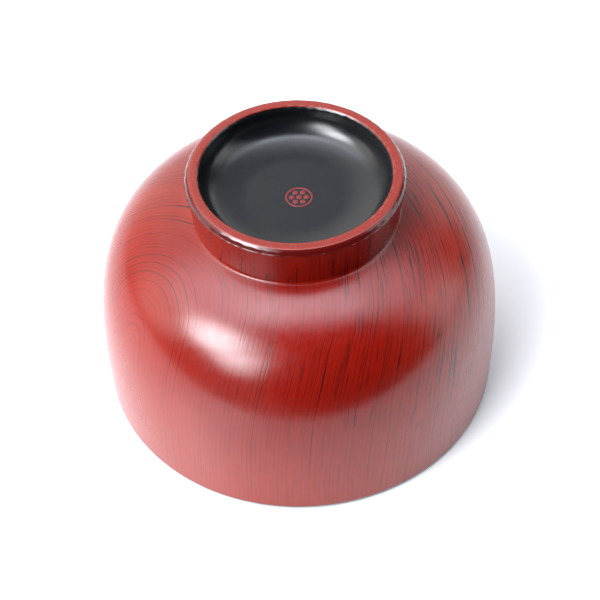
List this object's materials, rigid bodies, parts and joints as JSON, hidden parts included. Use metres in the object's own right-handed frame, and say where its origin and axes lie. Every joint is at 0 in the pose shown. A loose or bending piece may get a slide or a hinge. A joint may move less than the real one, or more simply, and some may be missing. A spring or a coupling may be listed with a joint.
{
  "type": "rice bowl",
  "caption": "Turned wooden rice bowl with a foot ring, red lacquer outside showing the grain, black lacquer inside and in the foot's recess, and a small painted mark.",
  "frame": {"origin": "centre of the circle that the lip rests on, at the lowest level of the lip", "axes": "+Z along the turning axis, from the mouth up to the foot: the bowl stands mouth down, as it is stored, and is turned 180 degrees about X for use; X and Y are level, and the bowl is round, so they have no set direction"},
  "size_m": [0.1214, 0.1214, 0.08],
  "materials": {
    "wood": "turned, covered by the coats",
    "ground_coat": "thin sealing coat, covered by the lacquer",
    "red_lacquer": "clear red lacquer over dark wood grain, soft gloss",
    "lip_black_lacquer": "black lacquer band round the lip, soft gloss",
    "inner_black_lacquer": "black lacquer, soft gloss",
    "foot_red_lacquer": "solid red lacquer, satin",
    "recess_black_lacquer": "black lacquer, satin",
    "mark_paint": "thin red paint"
  },
  "bodies": {
    "root": {"wood_core": "wood", "ground_coat": "ground_coat", "outer_lacquer": "red_lacquer", "lip_lacquer": "lip_black_lacquer", "inner_lacquer": "inner_black_lacquer", "foot_rim_lacquer": "foot_red_lacquer", "recess_lacquer": "recess_black_lacquer", "seal_mark": "mark_paint"}
  },
  "joints": []
}
